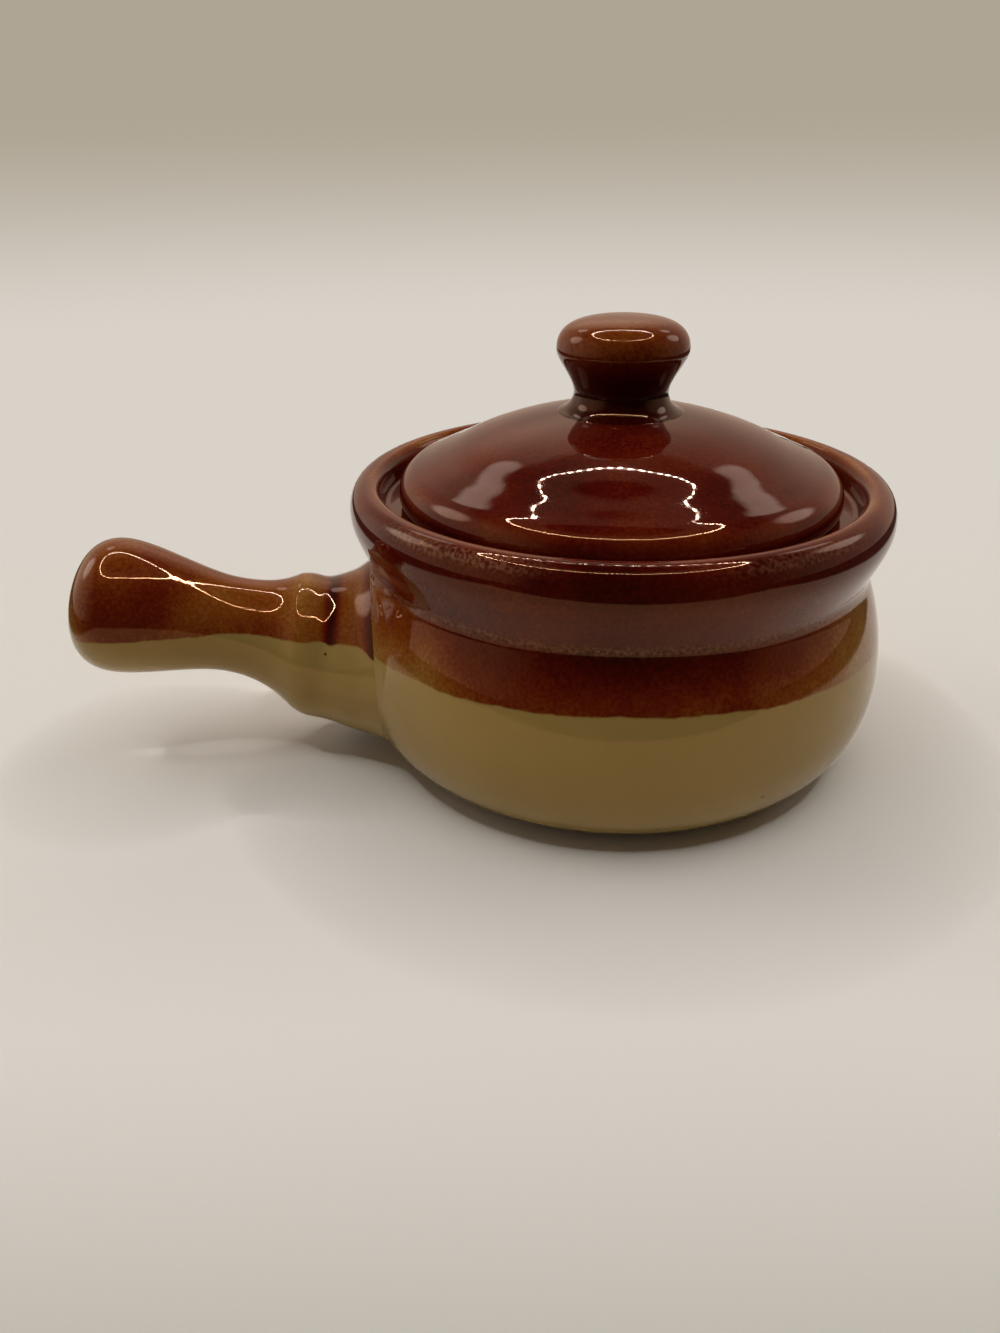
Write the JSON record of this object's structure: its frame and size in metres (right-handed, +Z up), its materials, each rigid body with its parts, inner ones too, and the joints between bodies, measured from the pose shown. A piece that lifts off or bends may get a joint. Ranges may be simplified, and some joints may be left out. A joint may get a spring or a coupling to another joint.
{
  "type": "lidded soup crock",
  "caption": "Squat bellied stoneware soup crock with a stick handle, a rolled rim with a ledge inside it, and a loose domed lid with a mushroom knob.",
  "frame": {"origin": "middle of the foot ring, on the surface that the crock stands on", "axes": "+Z up through the bowl, the lid and the knob; the handle points along -X; +Y completes the right-handed frame"},
  "size_m": [0.1928, 0.127, 0.101],
  "materials": {
    "two_tone_glaze": "glossy brown glaze over a glossy cream glaze",
    "brown_glaze": "glossy dark brown glaze"
  },
  "bodies": {
    "crock": {"crock_bowl": "two_tone_glaze", "stick_handle": "two_tone_glaze"},
    "lid": {"lid_dome": "brown_glaze", "lid_knob": "brown_glaze"}
  },
  "joints": [
    {"name": "lid_lift", "type": "slide", "parent": "crock", "child": "lid", "axis": [0, 0, 1], "range_m": [0, 0.08]}
  ]
}
